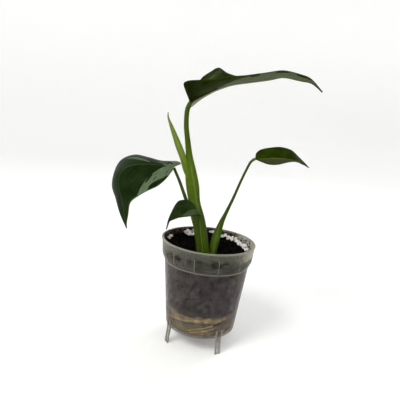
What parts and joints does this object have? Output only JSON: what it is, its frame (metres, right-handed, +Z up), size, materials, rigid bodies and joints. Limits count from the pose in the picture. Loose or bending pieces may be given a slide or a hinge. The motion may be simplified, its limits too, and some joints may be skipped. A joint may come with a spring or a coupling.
{
  "type": "potted young monstera",
  "caption": "Young climbing aroid with narrow variegated leaves and a rolled new leaf, rooted in a clear plastic nursery pot that stands on short feet.",
  "frame": {"origin": "middle of the whole plant's footprint, at the height of the pot's feet", "axes": "+Z up, +X to the side that the long upper leaf points to, +Y to the back"},
  "size_m": [0.1108, 0.055, 0.1603],
  "materials": {
    "clear_plastic": "satin",
    "soil": "matte",
    "perlite": "matte",
    "root": "matte",
    "crown": "matte",
    "stalk": "satin",
    "new_leaf": "satin",
    "blade_upper": "satin",
    "blade_left": "satin",
    "blade_small": "satin",
    "blade_right": "satin"
  },
  "bodies": {
    "root": {"pot": "clear_plastic", "soil": "soil", "root_upper": "root", "root_lower": "root", "crown": "crown", "stalk_upper": "stalk", "stalk_left": "stalk", "stalk_small": "stalk", "stalk_right": "stalk", "new_leaf": "new_leaf", "blade_upper": "blade_upper", "blade_left": "blade_left", "blade_small": "blade_small", "blade_right": "blade_right", "perlite_left": "perlite", "perlite_back_left": "perlite", "perlite_back": "perlite", "perlite_right": "perlite"}
  },
  "joints": []
}
